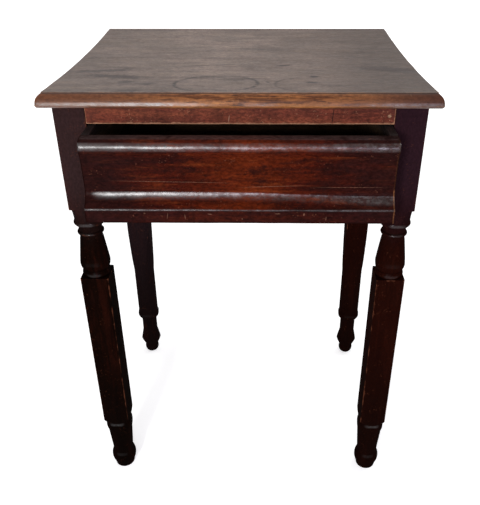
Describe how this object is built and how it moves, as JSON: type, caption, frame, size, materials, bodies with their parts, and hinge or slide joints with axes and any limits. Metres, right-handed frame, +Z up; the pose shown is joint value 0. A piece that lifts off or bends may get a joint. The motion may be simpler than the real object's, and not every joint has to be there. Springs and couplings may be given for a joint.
{
  "type": "tavern table",
  "caption": "Rectangular one-drawer stand table with turned and square front legs, a moulded top and an ogee drawer front.",
  "frame": {"origin": "on the floor, under the middle of the whole table with its drawer ajar", "axes": "+Z up, -Y to the front where the drawer opens, +X to the right of someone facing the front"},
  "size_m": [0.54, 0.489, 0.735],
  "materials": {
    "top_board_wood": "dull worn varnish",
    "front_rail_wood": "worn varnish",
    "drawer_front_wood": "gloss varnish",
    "apron_wood": "dark varnish",
    "dark_leg_wood": "dark varnish",
    "secondary_wood": "bare",
    "iron": "dull"
  },
  "bodies": {
    "table": {"top_board": "top_board_wood", "front_top_rail": "front_rail_wood", "front_lower_rail": "secondary_wood", "back_apron": "apron_wood", "right_side_apron": "apron_wood", "left_side_apron": "apron_wood", "front_right_leg": "dark_leg_wood", "front_left_leg": "dark_leg_wood", "rear_right_leg": "dark_leg_wood", "rear_left_leg": "dark_leg_wood", "right_drawer_runner": "secondary_wood", "left_drawer_runner": "secondary_wood", "right_drawer_guide": "secondary_wood", "left_drawer_guide": "secondary_wood", "right_kicker": "secondary_wood", "left_kicker": "secondary_wood", "drawer_stops": "secondary_wood", "glue_blocks": "secondary_wood", "tenon_pegs": "dark_leg_wood", "top_screws": "iron", "runner_nails": "iron"},
    "drawer": {"drawer_front": "drawer_front_wood", "drawer_right_side": "secondary_wood", "drawer_left_side": "secondary_wood", "drawer_back": "secondary_wood", "drawer_bottom": "secondary_wood", "drawer_bottom_nails": "iron"}
  },
  "joints": [
    {"name": "drawer_slide", "type": "slide", "parent": "table", "child": "drawer", "axis": [0, -1, 0], "range_m": [-0.046, 0.2]}
  ]
}
